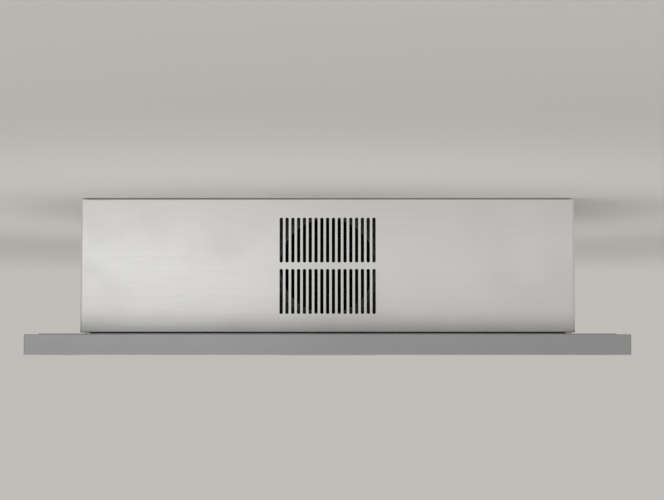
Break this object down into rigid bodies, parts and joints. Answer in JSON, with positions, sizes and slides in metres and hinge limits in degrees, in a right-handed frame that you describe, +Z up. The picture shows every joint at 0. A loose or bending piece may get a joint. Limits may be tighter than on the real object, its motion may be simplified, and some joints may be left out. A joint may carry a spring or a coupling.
{
  "type": "ceiling range hood",
  "caption": "Flat ceiling range hood that recirculates: wide canopy plate with baffle filters under a narrower steel box whose slotted grilles let the cleaned air out.",
  "frame": {"origin": "middle of the ceiling plane, at the centre of the four ceiling bolts", "axes": "+Z up into the ceiling, +X along the hood's width, -Y towards the front panel"},
  "size_m": [1.092, 0.686, 0.2906],
  "materials": {
    "panel_steel": "satin stainless sheet",
    "plate_steel": "darker satin stainless sheet",
    "filter_steel": "bright stainless baffles",
    "galvanised": "galvanised sheet",
    "zinc_steel": "zinc-plated fasteners",
    "spring_steel": "spring steel strip",
    "wire_chrome": "polished wire",
    "cast_aluminium": "turned and anodised",
    "frosted_glass": "frosted lens",
    "black_plastic": "fine-grained moulding",
    "button_plastic": "satin button caps",
    "grey_plastic": "moulded nylon",
    "motor_paint": "black baked paint",
    "black_paint": "matt black powder coat",
    "bush_rubber": "soft rubber",
    "cable_jacket": "flexible jacket",
    "charcoal": "charcoal granules in fleece",
    "circuit_board": "circuit board",
    "capacitor_can": "drawn can"
  },
  "bodies": {
    "hood": {"ceiling_frame": "galvanised", "suspension_fixings": "zinc_steel", "chassis_roof": "galvanised", "chassis_ends": "galvanised", "chassis_front_wall": "black_paint", "chassis_rear_wall": "black_paint", "front_panel": "panel_steel", "rear_panel": "panel_steel", "left_panel": "panel_steel", "right_panel": "panel_steel", "sheet_screws": "zinc_steel", "panel_clips": "galvanised", "canopy_frame": "plate_steel", "canopy_cover": "plate_steel", "filter_dividers": "plate_steel", "filter_hooks": "galvanised", "filter_clips": "spring_steel", "lamp_bodies": "cast_aluminium", "lamp_lenses": "frosted_glass", "control_bezel": "black_plastic", "control_board": "circuit_board", "scroll_top": "galvanised", "scroll_wall": "galvanised", "scroll_inlet_plate": "galvanised", "motor_body": "motor_paint", "motor_bracket": "zinc_steel", "rubber_bushes": "bush_rubber", "blower_hangers": "zinc_steel", "duct_transition": "galvanised", "damper_collar": "grey_plastic", "damper_pin": "zinc_steel", "diverter_box": "black_paint", "flow_splitter": "black_paint", "outlet_mouths": "black_plastic", "control_box": "galvanised", "control_box_lid": "galvanised", "power_board": "circuit_board", "run_capacitor": "capacitor_can", "cable_gland": "black_plastic", "motor_cable": "cable_jacket"},
    "wheel": {"impeller": "galvanised", "motor_shaft": "zinc_steel"},
    "flap_front": {"damper_flap_front": "cast_aluminium"},
    "flap_rear": {"damper_flap_rear": "cast_aluminium"},
    "cartridge": {"charcoal_cartridge": "black_plastic", "charcoal_pack": "charcoal"},
    "filter_left": {"filter_frame_left": "filter_steel", "filter_baffles_left": "filter_steel"},
    "bail_left": {"filter_bail_left": "wire_chrome"},
    "filter_middle": {"filter_frame_middle": "filter_steel", "filter_baffles_middle": "filter_steel"},
    "bail_middle": {"filter_bail_middle": "wire_chrome"},
    "filter_right": {"filter_frame_right": "filter_steel", "filter_baffles_right": "filter_steel"},
    "bail_right": {"filter_bail_right": "wire_chrome"},
    "off_button": {"button_off": "button_plastic"},
    "slower_button": {"button_slower": "button_plastic"},
    "faster_button": {"button_faster": "button_plastic"},
    "light_button": {"button_light": "button_plastic"},
    "timer_button": {"button_timer": "button_plastic"}
  },
  "joints": [
    {"name": "filter_left_tilt", "type": "hinge", "parent": "hood", "child": "filter_left", "pos_m": [-0.292, 0.199, -0.2535], "axis": [1, 0, 0], "range_deg": [0, 75]},
    {"name": "filter_middle_tilt", "type": "hinge", "parent": "hood", "child": "filter_middle", "pos_m": [0, 0.199, -0.2535], "axis": [1, 0, 0], "range_deg": [0, 75]},
    {"name": "filter_right_tilt", "type": "hinge", "parent": "hood", "child": "filter_right", "pos_m": [0.292, 0.199, -0.2535], "axis": [1, 0, 0], "range_deg": [0, 75]},
    {"name": "bail_left_swing", "type": "hinge", "parent": "filter_left", "child": "bail_left", "pos_m": [-0.292, -0.206, -0.2755], "axis": [1, 0, 0], "range_deg": [-80, 80]},
    {"name": "bail_middle_swing", "type": "hinge", "parent": "filter_middle", "child": "bail_middle", "pos_m": [0, -0.206, -0.2755], "axis": [1, 0, 0], "range_deg": [-80, 80]},
    {"name": "bail_right_swing", "type": "hinge", "parent": "filter_right", "child": "bail_right", "pos_m": [0.292, -0.206, -0.2755], "axis": [1, 0, 0], "range_deg": [-80, 80]},
    {"name": "wheel_spin", "type": "hinge", "parent": "hood", "child": "wheel", "pos_m": [0.265, -0.085, -0.12], "axis": [0, 0, 1], "continuous": true},
    {"name": "flap_front_turn", "type": "hinge", "parent": "hood", "child": "flap_front", "pos_m": [0.097, 0.041, -0.1255], "axis": [0, 0, 1], "range_deg": [-75, 0], "stiffness_Nm_per_rad": 0.02},
    {"name": "flap_rear_turn", "type": "hinge", "parent": "hood", "child": "flap_rear", "pos_m": [0.097, 0.041, -0.1255], "axis": [0, 0, 1], "range_deg": [0, 75], "stiffness_Nm_per_rad": 0.02},
    {"name": "cartridge_twist", "type": "hinge", "parent": "hood", "child": "cartridge", "pos_m": [0.265, -0.085, -0.19], "axis": [0, 0, 1], "range_deg": [-25, 0]},
    {"name": "off_press", "type": "slide", "parent": "hood", "child": "off_button", "axis": [0, 0, 1], "range_m": [0, 0.0015], "stiffness_N_per_m": 400},
    {"name": "slower_press", "type": "slide", "parent": "hood", "child": "slower_button", "axis": [0, 0, 1], "range_m": [0, 0.0015], "stiffness_N_per_m": 400},
    {"name": "faster_press", "type": "slide", "parent": "hood", "child": "faster_button", "axis": [0, 0, 1], "range_m": [0, 0.0015], "stiffness_N_per_m": 400},
    {"name": "light_press", "type": "slide", "parent": "hood", "child": "light_button", "axis": [0, 0, 1], "range_m": [0, 0.0015], "stiffness_N_per_m": 400},
    {"name": "timer_press", "type": "slide", "parent": "hood", "child": "timer_button", "axis": [0, 0, 1], "range_m": [0, 0.0015], "stiffness_N_per_m": 400}
  ]
}
